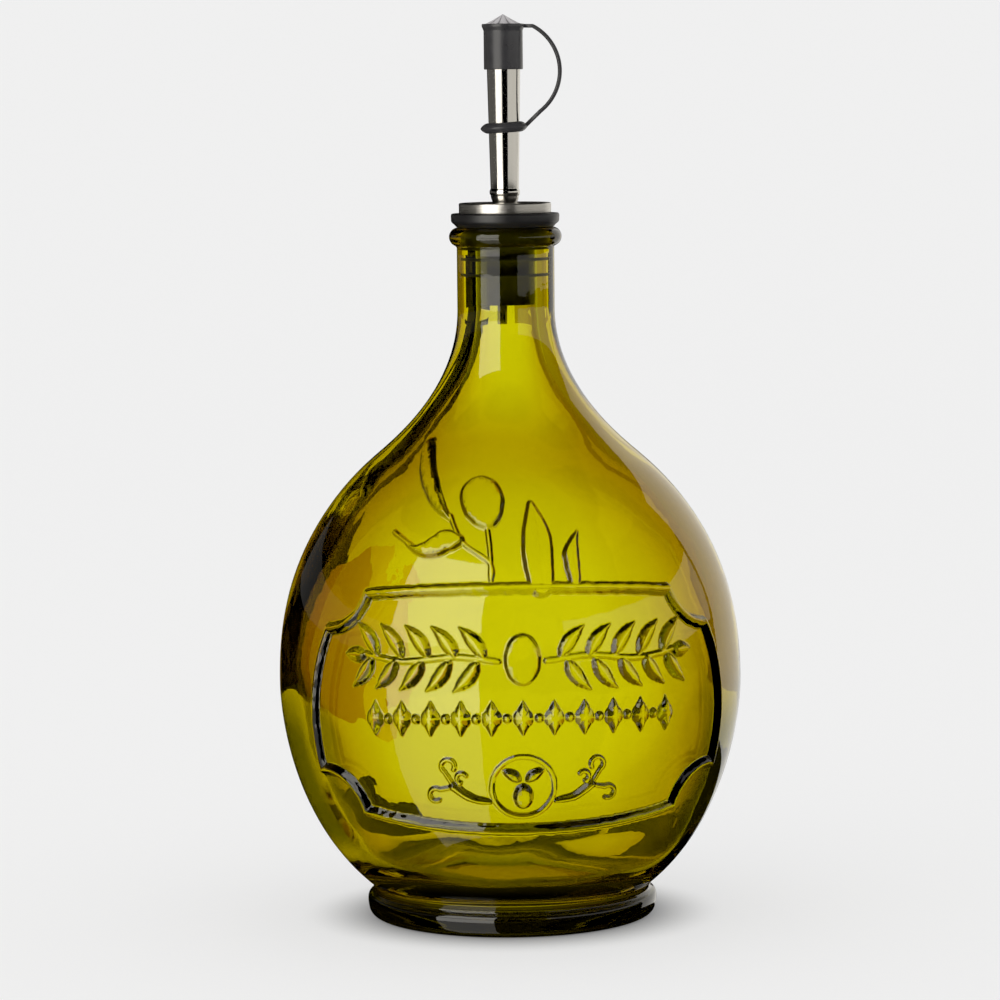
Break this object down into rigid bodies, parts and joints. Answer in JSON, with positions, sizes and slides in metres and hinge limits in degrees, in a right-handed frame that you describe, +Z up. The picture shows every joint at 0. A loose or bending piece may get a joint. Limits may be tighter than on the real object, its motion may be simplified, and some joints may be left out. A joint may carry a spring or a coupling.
{
  "type": "glass olive oil bottle with pouring spout",
  "caption": "Round yellow-green glass oil bottle with a raised label panel, a foot ring, a rubber stopper and a steel pouring spout under a strapped cap.",
  "frame": {"origin": "centre of the foot ring, on the surface that the bottle stands on", "axes": "+Z up along the bottle's axis, -Y out of the raised label panel, +X to the right of the panel, where the cap's strap hangs"},
  "size_m": [0.142, 0.143, 0.2767],
  "materials": {
    "glass": "clear yellow-green moulded glass, polished, with soft ripples",
    "stopper_rubber": "black moulded rubber, satin",
    "disc_steel": "stainless steel with turned edge",
    "spout_steel": "polished stainless steel",
    "vent_steel": "drawn stainless steel",
    "cap_rubber": "black soft plastic, satin",
    "crown_gloss": "glossy grey plastic in sharp pleats"
  },
  "bodies": {
    "root": {"glass_bottle": "glass", "stopper": "stopper_rubber", "pourer_disc": "disc_steel", "spout_tube": "spout_steel", "vent_tube": "vent_steel", "spout_cap": "cap_rubber", "cap_crown": "crown_gloss"}
  },
  "joints": []
}
